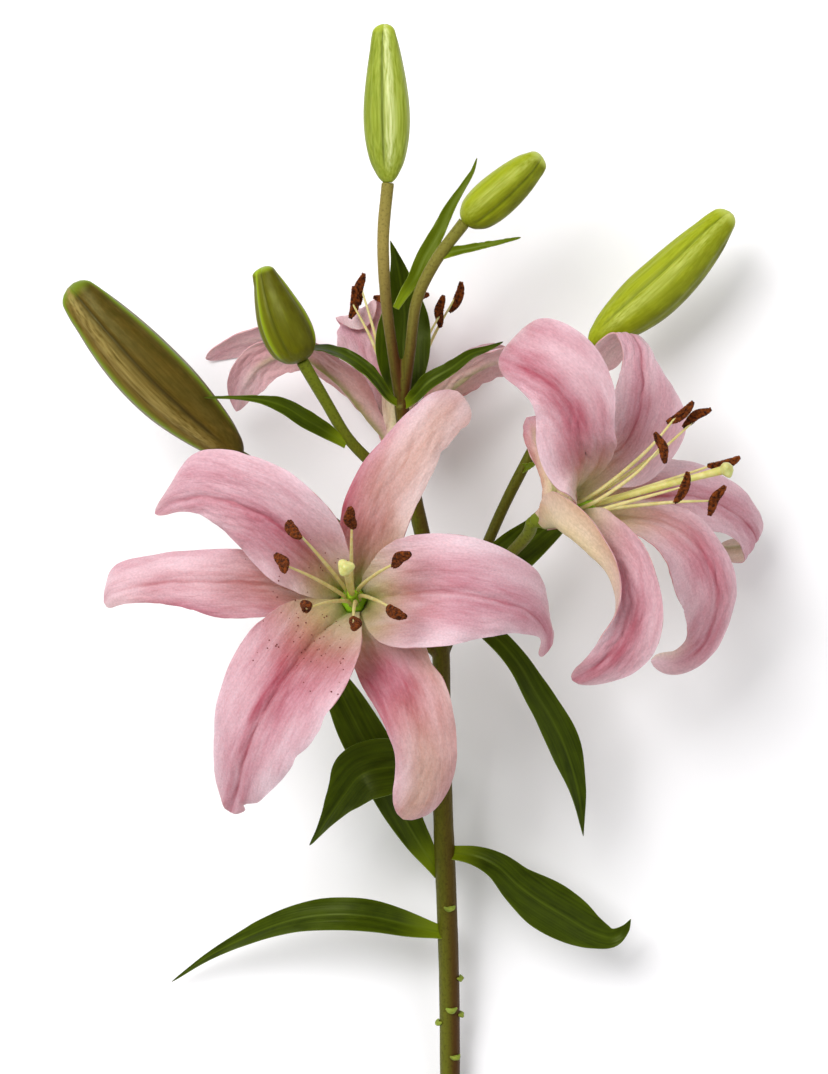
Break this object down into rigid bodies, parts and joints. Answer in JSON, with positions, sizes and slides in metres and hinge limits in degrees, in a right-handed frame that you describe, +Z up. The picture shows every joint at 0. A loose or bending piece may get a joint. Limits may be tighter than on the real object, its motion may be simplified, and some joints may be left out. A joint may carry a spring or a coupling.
{
  "type": "cut lily stem",
  "caption": "Cut stem of a pink hybrid lily lying on a surface, with open blooms, closed buds, leaves and a bare lower stem.",
  "frame": {"origin": "on the surface the stem lies on, under the middle of the spray's box", "axes": "+Y runs from the cut end of the stem towards the topmost bud, +Z is up from the surface, +X is to the right seen from above with the cut end towards the viewer"},
  "size_m": [0.2547, 0.4122, 0.1466],
  "materials": {
    "tepal": "satin living petal, pale pink with darker veins",
    "leaf": "waxy dark green leaf",
    "bud": "satin yellow-green bud",
    "stem": "smooth olive-brown stem",
    "pistil": "smooth pale green style and stigma",
    "stamen": "rust-brown powdery anthers on pale filaments"
  },
  "bodies": {
    "root": {"stem": "stem", "leaf_lower_left": "leaf", "leaf_lower_right": "leaf", "leaf_mid_left": "leaf", "leaf_mid_left_folded": "leaf", "leaf_mid_right": "leaf", "leaf_under_right": "leaf", "leaf_head_left": "leaf", "leaf_head_right": "leaf", "leaf_head_back": "leaf", "bract_small_left": "leaf", "bract_top_long": "leaf", "bract_top_short": "leaf", "bract_large_right": "leaf", "bud_top": "bud", "bud_upper_right": "bud", "bud_small_left": "bud", "bud_large_left": "bud", "bud_large_right": "bud", "front_tepal_right": "tepal", "front_tepal_top": "tepal", "front_tepal_upper_left": "tepal", "front_tepal_left": "tepal", "front_tepal_lower_left": "tepal", "front_tepal_bottom": "tepal", "front_stamens": "stamen", "front_pistil": "pistil", "right_tepal_reflexed": "tepal", "right_tepal_lower_near": "tepal", "right_tepal_lower_far": "tepal", "right_tepal_far": "tepal", "right_tepal_far_top": "tepal", "right_tepal_near_top": "tepal", "right_stamens": "stamen", "right_pistil": "pistil", "back_tepal_near": "tepal", "back_tepal_near_left": "tepal", "back_tepal_far_left": "tepal", "back_tepal_far": "tepal", "back_tepal_far_right": "tepal", "back_tepal_near_right": "tepal", "back_stamens": "stamen", "back_pistil": "pistil"}
  },
  "joints": []
}
